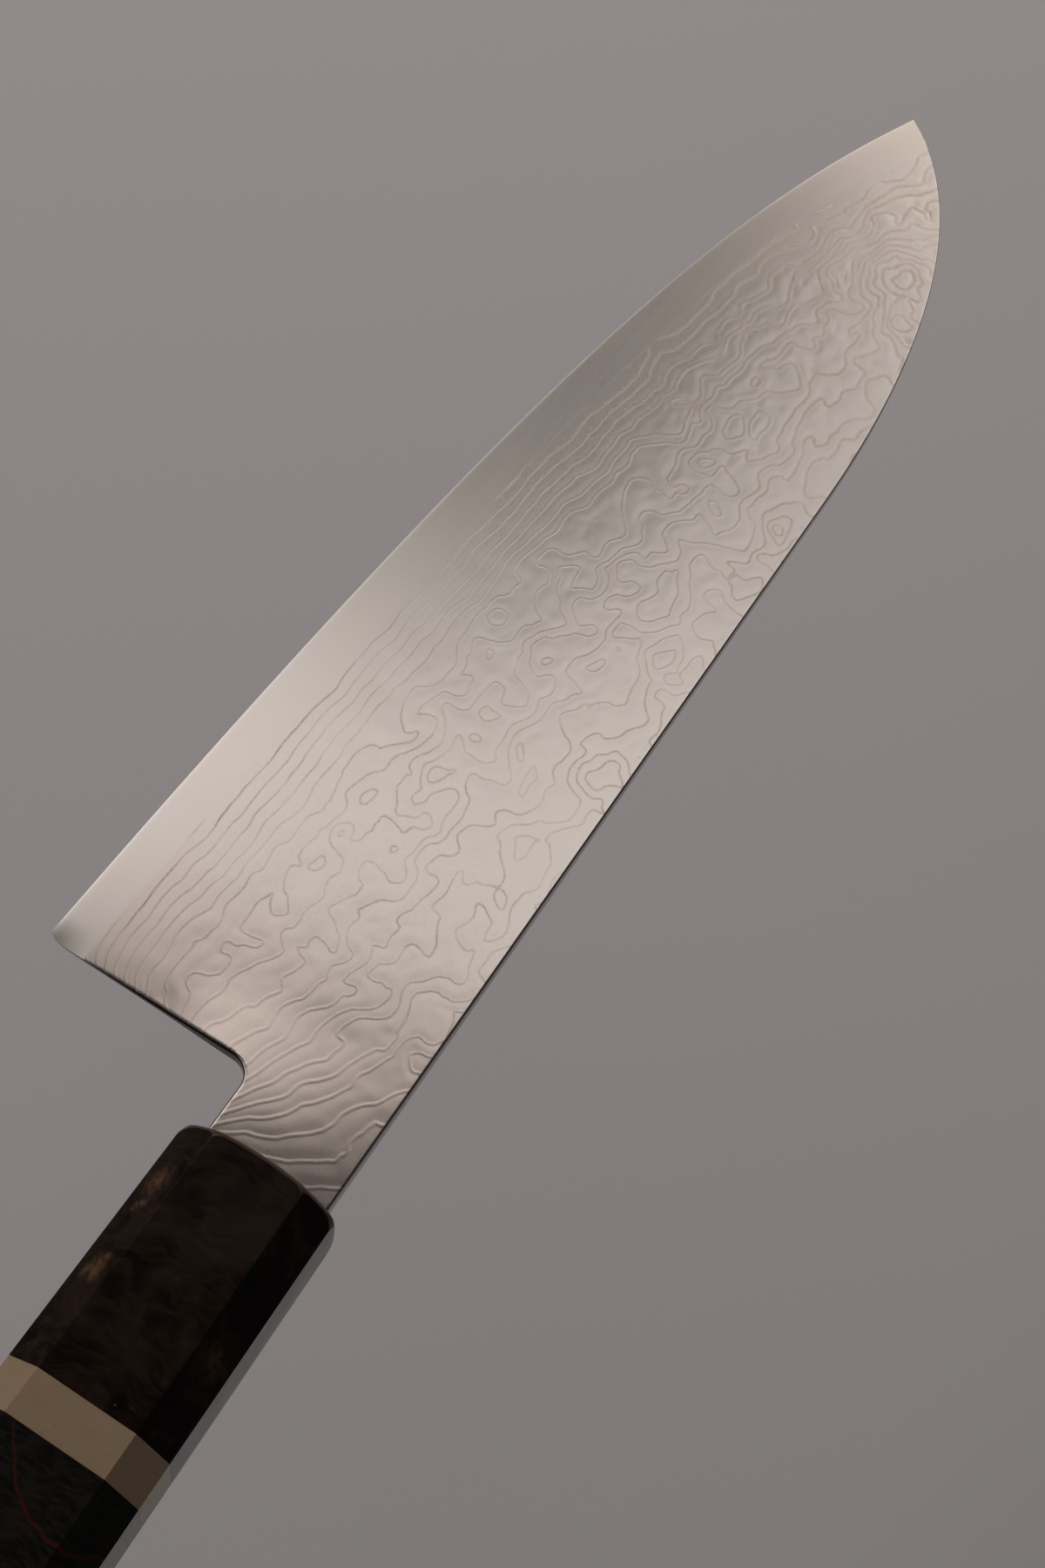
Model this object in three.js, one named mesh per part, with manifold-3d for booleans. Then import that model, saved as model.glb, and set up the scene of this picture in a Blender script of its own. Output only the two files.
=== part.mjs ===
// A santoku knife: a three-layer blade with a hidden tang, in an octagonal handle of two wooden
// blocks and a spacer on a slotted dowel. Millimetres.
// The knife lies on its right side: +X points to the tip, +Y to the cutting edge, +Z out of the left face.
// The pieces are drawn with X from the handle's front face, Y from the spine and Z from the blade's middle
// plane, and the whole knife is then set down with the middle of its underside at the origin.

import * as THREE from 'three';
import { mergeVertices } from 'three/addons/utils/BufferGeometryUtils.js';
import loadManifold from 'manifold-3d';

// Blade outline
const BLADE_LENGTH = 175; // choil to tip
const HEEL_HEIGHT = 48.2; // spine to edge at the choil
const TIP_DROP = 22; // tip below the spine
const NOSE_LENGTH = 65; // stretch of spine that bends down to the tip
const NOSE_EASE = 26.5; // how far the bend follows the straight spine
const NOSE_REACH = 20; // how far it follows its last direction, at the tip
const NOSE_ANGLE = THREE.MathUtils.degToRad(56);
const BELLY_REACH = 118; // how far the edge follows its direction at the heel
const BELLY_ANGLE = THREE.MathUtils.degToRad(2.5);
const POINT_REACH = 26; // how far the edge follows its direction at the tip
const POINT_ANGLE = THREE.MathUtils.degToRad(24.7);
const HEEL_EASE = 0.8; // blunted corner of the heel, along the edge
const HEEL_EASE_HEIGHT = 3; // and up the choil
const CHOIL_RADIUS = 3; // corner between choil and neck

// Blade thickness
const NECK_THICKNESS = 3.2;
const TIP_THICKNESS = 1.2; // spine at the tip
const EDGE_THICKNESS = 0.12;
const CORE_THICKNESS = 0.6; // hard middle layer in the neck and tang
const CORE_TIP_THICKNESS = 0.36; // and at the tip
const GRIND_POWER = 0.85; // 1 is a flat grind, less is convex

// Neck and tang
const NECK_LENGTH = 10.8; // handle to choil
const NECK_HEIGHT = 17.5;
const NECK_DEPTH = 6; // neck let into the handle
const TANG_LENGTH = 75; // from the handle's front face
const TANG_ROOT_WIDTH = 9;
const TANG_END_WIDTH = 6;

// Handle
const HANDLE_LENGTH = 138;
const HANDLE_DROP = 8.7; // handle axis below the spine
const FRONT_WIDTH = 21.4;
const REAR_WIDTH = 24.7;
const FRONT_THICKNESS = 18.6;
const REAR_THICKNESS = 20.6;
const BEVEL = 4.4; // leg of the four bevelled corners
const END_ROUND = 1.5; // rounding of both ends
const FRONT_BLOCK_LENGTH = 34;
const SPACER_LENGTH = 6;

// Dowel and bedding inside the handle
const DOWEL_DIAMETER = 12;
const DOWEL_LENGTH = 90;
const DOWEL_SLOT = 4.6; // sawn for the tang and its bedding
const TANG_END_GAP = 2; // slot past the tang's end

// Clearances
const NECK_CLEARANCE = 0.15; // mortise around the neck
const DOWEL_CLEARANCE = 0.2; // glue gap around the dowel
const TANG_CLEARANCE = 0.3; // bedding beside the tang's tapered sides

// Fineness of curved surfaces
const EDGE_STEPS = 24;
const NOSE_STEPS = 16;
const CORNER_STEPS = 6;
const ROUND_STEPS = 4;
const DOWEL_SIDES = 48;
const GRIND_SHARES = [-0.15, 0, 0.03, 0.07, 0.12, 0.2, 0.3, 0.45, 0.6, 0.8, 1, 1.15]; // edge to spine
const OVERCUT = 5; // how far a cutting shape runs past what it cuts

const TIP = new THREE.Vector2(NECK_LENGTH + BLADE_LENGTH, TIP_DROP);
const HEEL = new THREE.Vector2(NECK_LENGTH, HEEL_HEIGHT);
const SPACER_FRONT = -FRONT_BLOCK_LENGTH;
const SPACER_REAR = SPACER_FRONT - SPACER_LENGTH;
const DOWEL_FRONT = -NECK_DEPTH - NECK_CLEARANCE;
const DOWEL_REAR = DOWEL_FRONT - DOWEL_LENGTH;
const SLOT_REAR = -TANG_LENGTH - TANG_END_GAP;

const manifold = await loadManifold();
manifold.setup();

// Solids

function toSolid(geometry) {
  const plain = geometry.clone();
  plain.deleteAttribute('normal');
  plain.deleteAttribute('uv');
  const merged = mergeVertices(plain);
  return new manifold.Manifold(new manifold.Mesh({
    numProp: 3,
    vertProperties: new Float32Array(merged.attributes.position.array),
    triVerts: new Uint32Array(merged.index.array),
  }));
}

function toGeometry(solid) {
  const mesh = solid.getMesh();
  const geometry = new THREE.BufferGeometry();
  geometry.setAttribute('position', new THREE.BufferAttribute(mesh.vertProperties, 3));
  geometry.setIndex(new THREE.BufferAttribute(mesh.triVerts, 1));
  geometry.computeVertexNormals();
  return geometry;
}

// A closed skin over rings of points, all of one count, from the foremost ring back. Each ring runs from
// the edge's side over the left face.
function skin(rings) {
  const count = rings[0].length;
  const index = [];
  for (let ring = 0; ring < rings.length - 1; ring += 1) {
    for (let side = 0; side < count; side += 1) {
      const next = (side + 1) % count;
      const a = ring * count + side;
      const b = ring * count + next;
      index.push(a, a + count, b, b, a + count, b + count);
    }
  }
  const last = (rings.length - 1) * count;
  for (let side = 1; side < count - 1; side += 1) {
    index.push(0, side, side + 1, last, last + side + 1, last + side);
  }
  const geometry = new THREE.BufferGeometry().setFromPoints(rings.flat());
  geometry.setIndex(index);
  return geometry;
}

function box(low, high) {
  const size = new THREE.Vector3().subVectors(high, low);
  const middle = new THREE.Vector3().addVectors(low, high).multiplyScalar(0.5);
  return toSolid(new THREE.BoxGeometry(size.x, size.y, size.z).translate(middle.x, middle.y, middle.z));
}

function rodAlongX(front, rear, diameter) {
  const geometry = new THREE.CylinderGeometry(diameter / 2, diameter / 2, front - rear, DOWEL_SIDES);
  geometry.rotateZ(Math.PI / 2).translate((front + rear) / 2, HANDLE_DROP, 0);
  return toSolid(geometry);
}

// Blade

function spineCurve() {
  const start = new THREE.Vector2(TIP.x - NOSE_LENGTH, 0);
  return new THREE.CubicBezierCurve(
    start,
    new THREE.Vector2(start.x + NOSE_EASE, 0),
    new THREE.Vector2(TIP.x - NOSE_REACH * Math.cos(NOSE_ANGLE), TIP.y - NOSE_REACH * Math.sin(NOSE_ANGLE)),
    TIP,
  );
}

function edgeCurve() {
  return new THREE.CubicBezierCurve(
    HEEL,
    new THREE.Vector2(HEEL.x + BELLY_REACH, HEEL.y - BELLY_REACH * Math.tan(BELLY_ANGLE)),
    new THREE.Vector2(TIP.x - POINT_REACH * Math.cos(POINT_ANGLE), TIP.y + POINT_REACH * Math.sin(POINT_ANGLE)),
    TIP,
  );
}

// The edge from the blunted heel to the tip.
function edgePoints() {
  const points = edgeCurve().getPoints(EDGE_STEPS);
  points[0] = new THREE.Vector2(HEEL.x + HEEL_EASE, HEEL.y - HEEL_EASE * Math.tan(BELLY_ANGLE));
  return points;
}

function heelCorner() {
  return new THREE.QuadraticBezierCurve(
    edgePoints()[0],
    new THREE.Vector2(HEEL.x, HEEL.y - HEEL_EASE),
    new THREE.Vector2(HEEL.x, HEEL.y - HEEL_EASE_HEIGHT),
  ).getPoints(CORNER_STEPS);
}

function choilCorner() {
  const corner = new THREE.EllipseCurve(
    NECK_LENGTH - CHOIL_RADIUS, NECK_HEIGHT + CHOIL_RADIUS,
    CHOIL_RADIUS, CHOIL_RADIUS, 0, -Math.PI / 2, true,
  );
  return corner.getPoints(CORNER_STEPS);
}

function tangEnd() {
  const tip = TANG_END_WIDTH / 2;
  const root = TANG_ROOT_WIDTH / 2;
  return [
    new THREE.Vector2(-NECK_DEPTH, NECK_HEIGHT),
    new THREE.Vector2(-NECK_DEPTH, HANDLE_DROP + root),
    new THREE.Vector2(-TANG_LENGTH, HANDLE_DROP + tip),
    new THREE.Vector2(-TANG_LENGTH, HANDLE_DROP - tip),
    new THREE.Vector2(-NECK_DEPTH, HANDLE_DROP - root),
    new THREE.Vector2(-NECK_DEPTH, 0),
  ];
}

function bladeOutline() {
  const edge = edgePoints().slice(1).reverse();
  return new THREE.Shape([
    ...spineCurve().getPoints(NOSE_STEPS),
    ...edge.slice(1),
    ...heelCorner(),
    ...choilCorner(),
    ...tangEnd(),
  ]);
}

// Half the blade's thickness at a share of its height, 0 at the edge and 1 at the spine.
function halfThickness(x, share) {
  const spine = THREE.MathUtils.mapLinear(Math.max(x, 0), 0, TIP.x, NECK_THICKNESS, TIP_THICKNESS) / 2;
  const ground = THREE.MathUtils.clamp(share, 0, 1) ** GRIND_POWER;
  const blade = THREE.MathUtils.lerp(EDGE_THICKNESS / 2, spine, ground);
  const inBlade = THREE.MathUtils.clamp(x / NECK_LENGTH, 0, 1);
  return THREE.MathUtils.lerp(NECK_THICKNESS / 2, blade, inBlade);
}

// Both ground faces, running past the outline on every side.
function grind() {
  const columns = [-TANG_LENGTH - OVERCUT, 0, NECK_LENGTH / 2].map((x) => new THREE.Vector2(x, HEEL_HEIGHT));
  const pastTip = new THREE.Vector2(OVERCUT, -OVERCUT * Math.tan(POINT_ANGLE)).add(TIP);
  columns.push(HEEL, ...edgePoints().slice(1), pastTip);
  const rings = columns.map(({ x, y }) => {
    const side = (share, sign) => new THREE.Vector3(x, y * (1 - share), sign * halfThickness(x, share));
    const left = GRIND_SHARES.map((share) => side(share, 1));
    const right = GRIND_SHARES.map((share) => side(share, -1)).reverse();
    return [...left, ...right];
  });
  return toSolid(skin(rings.reverse()));
}

function bladeBody() {
  const depth = 2 * NECK_THICKNESS;
  const plate = new THREE.ExtrudeGeometry(bladeOutline(), { depth, bevelEnabled: false });
  return toSolid(plate.translate(0, 0, -depth / 2)).intersect(grind());
}

// Half the thickness of the hard middle layer, which thins towards the tip.
function coreHalf(x) {
  return THREE.MathUtils.mapLinear(Math.max(x, 0), 0, TIP.x, CORE_THICKNESS, CORE_TIP_THICKNESS) / 2;
}

// The part of the blade between two heights, both functions of x.
function layer(body, bottom, top) {
  const edgeSide = HEEL_HEIGHT + OVERCUT;
  const spineSide = -OVERCUT;
  const rings = [TIP.x + OVERCUT, 0, -TANG_LENGTH - OVERCUT].map((x) => [
    new THREE.Vector3(x, edgeSide, bottom(x)),
    new THREE.Vector3(x, edgeSide, top(x)),
    new THREE.Vector3(x, spineSide, top(x)),
    new THREE.Vector3(x, spineSide, bottom(x)),
  ]);
  return toGeometry(body.intersect(toSolid(skin(rings))));
}

// Handle

// The octagon at x, drawn in by inset on every side.
function handleRing(x, inset = 0) {
  const share = -x / HANDLE_LENGTH;
  const wide = THREE.MathUtils.lerp(FRONT_WIDTH, REAR_WIDTH, share) / 2 - inset;
  const high = THREE.MathUtils.lerp(FRONT_THICKNESS, REAR_THICKNESS, share) / 2 - inset;
  const bevel = BEVEL - inset * (2 - Math.SQRT2);
  const corners = [
    [wide, high - bevel], [wide - bevel, high], [bevel - wide, high], [-wide, high - bevel],
    [-wide, bevel - high], [bevel - wide, -high], [wide - bevel, -high], [wide, bevel - high],
  ];
  return corners.map(([y, z]) => new THREE.Vector3(x, HANDLE_DROP + y, z));
}

// Rings of a rounded end at x, from the end face inwards; inwards is -1 at the front and 1 at the rear.
function roundedEnd(x, inwards) {
  return Array.from({ length: ROUND_STEPS + 1 }, (_, step) => {
    const angle = (step / ROUND_STEPS) * Math.PI / 2;
    const back = END_ROUND * (1 - Math.cos(angle));
    return handleRing(x + inwards * back, END_ROUND * (1 - Math.sin(angle)));
  });
}

function neckMortise() {
  return box(
    new THREE.Vector3(DOWEL_FRONT, -NECK_CLEARANCE, -NECK_THICKNESS / 2 - NECK_CLEARANCE),
    new THREE.Vector3(OVERCUT, NECK_HEIGHT + NECK_CLEARANCE, NECK_THICKNESS / 2 + NECK_CLEARANCE),
  );
}

function dowelBore(front, rear) {
  return rodAlongX(front, rear, DOWEL_DIAMETER + 2 * DOWEL_CLEARANCE);
}

function frontBlock() {
  const block = toSolid(skin([...roundedEnd(0, -1), handleRing(SPACER_FRONT)]));
  return toGeometry(block.subtract(neckMortise()).subtract(dowelBore(DOWEL_FRONT, SPACER_FRONT - OVERCUT)));
}

function spacer() {
  const ring = toSolid(skin([handleRing(SPACER_FRONT), handleRing(SPACER_REAR)]));
  return toGeometry(ring.subtract(dowelBore(SPACER_FRONT + OVERCUT, SPACER_REAR - OVERCUT)));
}

function rearBlock() {
  const block = toSolid(skin([handleRing(SPACER_REAR), ...roundedEnd(-HANDLE_LENGTH, 1).reverse()]));
  return toGeometry(block.subtract(dowelBore(SPACER_REAR + OVERCUT, DOWEL_REAR - DOWEL_CLEARANCE)));
}

// The saw cut across the dowel.
function dowelSlot(front) {
  const reach = DOWEL_DIAMETER / 2 + OVERCUT;
  return box(
    new THREE.Vector3(SLOT_REAR, HANDLE_DROP - reach, -DOWEL_SLOT / 2),
    new THREE.Vector3(front, HANDLE_DROP + reach, DOWEL_SLOT / 2),
  );
}

function dowel() {
  return toGeometry(rodAlongX(DOWEL_FRONT, DOWEL_REAR, DOWEL_DIAMETER).subtract(dowelSlot(DOWEL_FRONT + OVERCUT)));
}

// The tang's space in the bedding: flat faces touch the tang, its tapered sides and its end stay clear.
function tangPocket() {
  const root = TANG_ROOT_WIDTH / 2 + TANG_CLEARANCE;
  const tip = TANG_END_WIDTH / 2 + TANG_CLEARANCE;
  const rear = -TANG_LENGTH - TANG_CLEARANCE;
  const outline = new THREE.Shape([
    new THREE.Vector2(0, HANDLE_DROP - root),
    new THREE.Vector2(0, HANDLE_DROP + root),
    new THREE.Vector2(-NECK_DEPTH, HANDLE_DROP + root),
    new THREE.Vector2(rear, HANDLE_DROP + tip),
    new THREE.Vector2(rear, HANDLE_DROP - tip),
    new THREE.Vector2(-NECK_DEPTH, HANDLE_DROP - root),
  ]);
  const pocket = new THREE.ExtrudeGeometry(outline, { depth: NECK_THICKNESS, bevelEnabled: false });
  return toSolid(pocket.translate(0, 0, -NECK_THICKNESS / 2));
}

function bedding() {
  const filled = rodAlongX(DOWEL_FRONT, DOWEL_REAR, DOWEL_DIAMETER).intersect(dowelSlot(DOWEL_FRONT));
  return toGeometry(filled.subtract(tangPocket()));
}

// Assembly

function piece(name, geometry, color, roughness, metalness) {
  const mesh = new THREE.Mesh(geometry, new THREE.MeshStandardMaterial({ color, roughness, metalness }));
  mesh.name = name;
  return mesh;
}

const body = bladeBody();
const coreBottom = (x) => -coreHalf(x);
const knife = new THREE.Group();
knife.add(
  piece('core_steel', layer(body, coreBottom, coreHalf), 0xc9c3bd, 0.22, 1),
  piece('cladding_left', layer(body, coreHalf, () => NECK_THICKNESS), 0xb8b0a9, 0.34, 1),
  piece('cladding_right', layer(body, () => -NECK_THICKNESS, coreBottom), 0xb8b0a9, 0.34, 1),
  piece('front_block', frontBlock(), 0x3a241c, 0.3, 0),
  piece('spacer_ring', spacer(), 0xd8c9ad, 0.35, 0),
  piece('rear_block', rearBlock(), 0x1f1915, 0.3, 0),
  piece('tang_dowel', dowel(), 0xb98f5f, 0.7, 0),
  piece('tang_bedding', bedding(), 0x8f8a78, 0.5, 0),
);

const bounds = new THREE.Box3().setFromObject(knife);
const middle = bounds.getCenter(new THREE.Vector3());
knife.position.set(-middle.x, -middle.y, -bounds.min.z);

export default knife;
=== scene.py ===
"""Looks of a santoku knife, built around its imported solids.

Sizes are millimetres in the knife's own axes: x from the handle's front face to the tip, y from the spine to
the cutting edge, and z from the blade's middle plane out of its left face.
"""

import math

import bmesh
import bpy
import numpy as np
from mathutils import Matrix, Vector


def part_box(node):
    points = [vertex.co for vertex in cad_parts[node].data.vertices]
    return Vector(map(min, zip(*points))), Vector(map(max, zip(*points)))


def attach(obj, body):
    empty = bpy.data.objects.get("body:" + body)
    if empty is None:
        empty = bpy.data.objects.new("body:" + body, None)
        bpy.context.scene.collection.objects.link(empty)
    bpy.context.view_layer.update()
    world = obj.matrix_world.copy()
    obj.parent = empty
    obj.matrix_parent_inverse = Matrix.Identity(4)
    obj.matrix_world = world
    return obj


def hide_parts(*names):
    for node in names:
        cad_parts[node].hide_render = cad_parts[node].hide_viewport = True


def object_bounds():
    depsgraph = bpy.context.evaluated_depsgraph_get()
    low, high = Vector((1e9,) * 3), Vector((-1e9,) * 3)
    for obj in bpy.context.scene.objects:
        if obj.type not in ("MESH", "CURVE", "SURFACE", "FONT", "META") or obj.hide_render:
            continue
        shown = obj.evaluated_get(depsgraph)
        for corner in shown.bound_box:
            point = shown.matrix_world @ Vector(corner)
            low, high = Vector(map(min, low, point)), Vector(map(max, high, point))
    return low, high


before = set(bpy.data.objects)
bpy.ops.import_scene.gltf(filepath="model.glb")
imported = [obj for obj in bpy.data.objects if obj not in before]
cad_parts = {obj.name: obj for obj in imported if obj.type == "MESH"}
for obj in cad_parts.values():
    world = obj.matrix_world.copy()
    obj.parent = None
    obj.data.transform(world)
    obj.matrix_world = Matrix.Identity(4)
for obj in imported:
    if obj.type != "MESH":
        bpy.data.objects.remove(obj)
packed_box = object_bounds()

MM = 0.001

# Packed boxes, and the origin of the knife's axes
core_low, core_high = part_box("core_steel")
front_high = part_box("front_block")[1]
spacer_low, spacer_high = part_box("spacer_ring")
rear_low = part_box("rear_block")[0]
left_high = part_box("cladding_left")[1]
right_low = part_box("cladding_right")[0]
dowel_low, dowel_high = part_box("tang_dowel")
KNIFE_ORIGIN = np.array([front_high.x, core_low.y, (core_low.z + core_high.z) / 2])

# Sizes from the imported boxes
TIP_X = (core_high.x - front_high.x) / MM
TANG_REAR = (core_low.x - front_high.x) / MM
CORE_HALF = (core_high.z - core_low.z) / 2 / MM
NECK_HALF = (left_high.z - right_low.z) / 2 / MM
SPACER_FRONT = (spacer_high.x - front_high.x) / MM
SPACER_REAR = (spacer_low.x - front_high.x) / MM
HANDLE_REAR = (rear_low.x - front_high.x) / MM
DOWEL_FRONT = (dowel_high.x - front_high.x) / MM
DOWEL_REAR = (dowel_low.x - front_high.x) / MM
DOWEL_DIAMETER = (dowel_high.y - dowel_low.y) / MM

# Blade outline; a reach is how far a curve keeps to the direction of its end
HEEL_X = 10.8  # the choil
HEEL_HEIGHT = 48.2
TIP_DROP = 22  # from the spine's level down to the tip
NOSE_LENGTH = 65  # of the spine's fall to the tip
NOSE_EASE = 26.5  # reach of that fall where it begins
NOSE_REACH = 20  # and at the tip
NOSE_ANGLE = math.radians(56)
BELLY_REACH = 118  # of the edge at the heel
BELLY_ANGLE = math.radians(2.5)
POINT_REACH = 26  # and at the tip
POINT_ANGLE = math.radians(24.7)
HEEL_EASE = 0.8  # blunting of the heel's corner along the edge
HEEL_EASE_HEIGHT = 3  # and up the choil
CHOIL_RADIUS = 3
NECK_HEIGHT = 17.5
NECK_DEPTH = 6  # inside the handle
NECK_END = 2 * HEEL_X  # where the neck has become the blade

# Blade thickness
TIP_HALF = 0.6
EDGE_HALF = 0.06
CORE_TIP_HALF = 0.18
GRIND_POWER = 0.85  # below 1 the grind is convex
NECK_GRIND = (0.35, 0.6)  # shares of the height above the edge over which the neck grows thick
RIM = 0.36  # eased corner of spine, choil and neck
TIP_RIM = 0.12  # and of the spine at the tip
CUTTING_BEVEL = 0.1  # width of the sharpened strip along the edge
EDGE_TAPER = 0.9  # share of the edge's thickness left at the end of that strip
ROLL_REACH = 4  # how far from the choil polishing has rolled the faces off
ROLL_BEGIN = (1, 7)  # distances below the neck's fillet over which that begins
ROLL_DEPTH = 0.015
BARE_ROLL_DEPTH = 0.07  # and of the bare core
ROLL_SHARE = 0.6  # the most that it takes of the half thickness
ROLL_CORE_SHARE = 0.5  # and of the distance from the core's surface

# Tang
TANG_ROOT_WIDTH = 9
TANG_END_WIDTH = 6

# Handle
HANDLE_DROP = 8.7  # of its axis below the spine
FRONT_WIDTH = 21.4
REAR_WIDTH = 24.7
FRONT_THICKNESS = 18.6
REAR_THICKNESS = 20.6
BEVEL = 4.4
END_ROUND = 1.5
FRONT_EDGE = math.radians(40)  # the corner at which the flats meet the rounded front end
CORNER_ROUND = 0.02  # eased edges between the eight flats
CORNER_GROWTH = 3.6  # how fast those edges widen over a rounded end
FLAT_MARGIN = 0.15  # keeps the shading of a flat even up to its rounded end
FLAT_SHARES = (0.004, 0.05, 0.12, 0.22, 0.36, 0.5, 0.64, 0.78, 0.88, 0.95, 0.996)  # of points across a flat
CAP_SHARES = (0.35, 0.7)  # of rings from the middle of an end to its rounding
FRONT_DOME = 1.2  # how far the front end stands out at its middle
FRONT_CORNERS = ((0, 2.6), (0.15, 1.5), (0.35, 0.5), (0.6, 0))  # distance behind its edge, and rounding
CORNER_FALL = 0.65  # how far the edge falls back at the corners that lie furthest out
CORNER_FALL_RANGE = (11.1, 11.8)  # distances from the handle's axis over which it falls
SEAM_ROUND = 0.05  # at the joints with the spacer
NECK_CLEARANCE = 0.15
DOWEL_CLEARANCE = 0.2
OVERCUT = 5  # how far a cutting shape runs past what it cuts

# Layered figure: seeds of the two faces, and what each kind of noise adds to them
LEFT_SEED = 19
RIGHT_SEED = 23
SWIRL_SEED = 10
SWELL_SEED = 20
RING_SEED = 30
DENT_SEED = 40

# Layered figure: values at the heel and at the nose
CLOSE_SPACING = (1.6, 2.2)  # of the lines along the bare core
CLOSE_REACH = (10, 7)  # how far up the face those lines go
CLOSE_WANDER = (0.22, 0.6)  # how much they wander, as a share of the others
FACE_SPACING = (6, 3.4)  # of the lines on the rest of the face
LINE_HALF = (0.24, 0.5)  # half the width of a line
PILLOW = (0.008, 0.013)  # how far a layer stands out between its lines

# Layered figure: ranges over which something changes
NOSE_X = (90, 150)  # from the heel's values to the nose's
RAISED_X = (50, 100)  # the lines begin to stand higher
DARK_LINE_X = (50, 85)  # the lowest line ceases to be darker than the others
TIP_BARE_X = (152, 176)  # polishing has taken the figure off
NECK_FIGURE_X = (12, 30)  # from the neck's lines to the face's
NECK_FIGURE_Y = (20, 32)
PAINTED_NECK_WARMTH_X = (12, 48)  # from the painted warm reflection in the neck to the face's plain steel
CHOIL_BEND_Y = (24, 32)  # the lines begin to bend at the choil
CLOSE_EASE = (0.5, 1.5)  # shares of the close lines' reach over which the wandering grows
NECK_CALM = (10, 32)  # distances from the fan's root over which it grows too
STEEP = (0.9, 2.4)  # layers per millimetre over which crowded lines lose height
LOWEST_LAYER = (1.3, 1.6)  # layers over which a line ceases to be the lowest

# Layered figure: lines
FIRST_LINE = 0.35  # height of the lowest line above the bare core
LINE_FADE = 0.4  # how far the lines fade out to either side of the core's border
NECK_LINE = 0.16  # how much is added to half a line's width in the neck
RAISED = 0.5  # how much higher raised lines stand, as a share
STEEP_HEIGHT = 0.4  # share of their height that crowded lines keep
TIP_BARE = 2.4  # height over which polishing has taken the figure off at the tip
SPACING_EASE = 2.5  # how gently the spacing changes
WANDER = ((1.15, 8), (0.85, 3.9), (0.3, 2.4), (0.06, 1.2))  # amounts in layers, and sizes
WANDER_STRETCH = 1.2  # longer along the blade than across it
NECK_WANDER = 0.15  # share of the wandering that is left at the fan's root
SWIRL = 1.1
SWIRL_SIZE = 4.6
CHOIL_BEND = 1.7  # layers that the lines bend down at the choil
CHOIL_BEND_REACH = 2

# Layered figure: the fan of lines in the neck
FAN_ROOT = -1  # x at which its lines meet
FAN_ROOT_DROP = 1  # how far below the neck's underside they aim
FAN_ROOT_EASE = 1  # how gently they come together
FAN_STEP = 8.5  # degrees from line to line
FAN_LEAN = 0.9  # how much they lean towards the tip
FAN_AIM = 80  # degrees towards which they bend
FAN_BEND = 0.25  # how much they bend
FAN_START = 8  # distance from the root at which they are a step apart
FAN_REACH = 20  # and beyond which they bend no more
FAN_EASE = 10  # degrees over which the fan ends at the choil

# Layered figure: hills, rings and swells
HILLS = ((159.5, 10, 5.5, 5), (152, 6, 2.8, 2.5), (96.5, 17, 2.4, 2.8))  # x, y, reach and layers
RING_COUNT = 34
RING_MARGIN = 14  # between the rings and the ends of the blade
RING_HEIGHTS = (0.06, 0.7)  # shares of the way from the spine to the bare core
RING_REACH = (1.5, 2.4)
RING_CREST = 0.45  # how far the middle of a ring stands above its line, in layers
RING_DENT = 0.6  # how uneven the rings are
RING_DENT_SIZE = 2.3
CROWDED = 0.4  # layers per millimetre at which half of a pillow is left
SWELLS = ((0.003, 2.8), (0.008, 5.5))  # heights and sizes of the face's gentle swells
SWELL_EASE = 7  # height above the bare core over which the face's relief begins

# Fineness of the meshes
FACE_COLUMNS = 600
FACE_ROWS = 140
NECK_COLUMNS = 56
FILLET_COLUMNS = 14
BAND_ROWS = 12
RIM_STEPS = 6
ROUND_STEPS = 8
CORNER_STEPS = 4
CURVE_STEPS = 400
ROD_SIDES = 48
SHARP_ANGLE = math.radians(32)
SLOPE_STEP = 0.05  # distance to either side over which a slope is measured
WELD = 1e-7  # metres

# Figure of the wood
TAN_PATCHES = (  # place, reach and strength
    ((-8.4, 17.3, 7), 2.8, 1),
    ((-12, 17.6, 6.7), 1.6, 1),
    ((-21.1, 17.4, 6.9), 2.6, 1),
    ((-22, 0.2, 7.3), 4, 0.35),
)
PAINTED_SHADE_Y = (1.5, 3)  # over which the painted shade on the spine's side ends
RIM_X = (0.2, 0.8)  # over which the redder rim changes into the middle of the front end
PIN_KNOT = (-32.7, 5.8, 9.5)
KNOT_REACH = 1.5
PAINTED_KNOT_HIGHLIGHT_REACH = 0.25  # of the painted highlight in the knot
VEIN_X = -48.6  # where the red vein's bow lies furthest back
VEIN_BOW = 0.07  # how fast it bows
VEIN_BOW_Y = 3
VEIN_WANDER = 0.6
VEIN_FADE = (0.05, 0.35)  # distances from the vein's middle over which its colour ends

# Finishes
NOISE_RANGE = (0.3, 0.7)  # most values of a noise lie in it
BACK_FACING = (-0.6, -0.15)  # how far along x a surface faces, from plainly back to a little
TURNED = (0.1, 0.5)  # how far a surface faces along an axis, from a little to plainly
FRONT_FACING = (0.15, 0.5)  # the same for the rim of the front end
WOOD_POLISH = (0.15, 0.21)  # roughness
WOOD_IOR = 1.36
FIBRE_RELIEF = 0.0015

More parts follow.
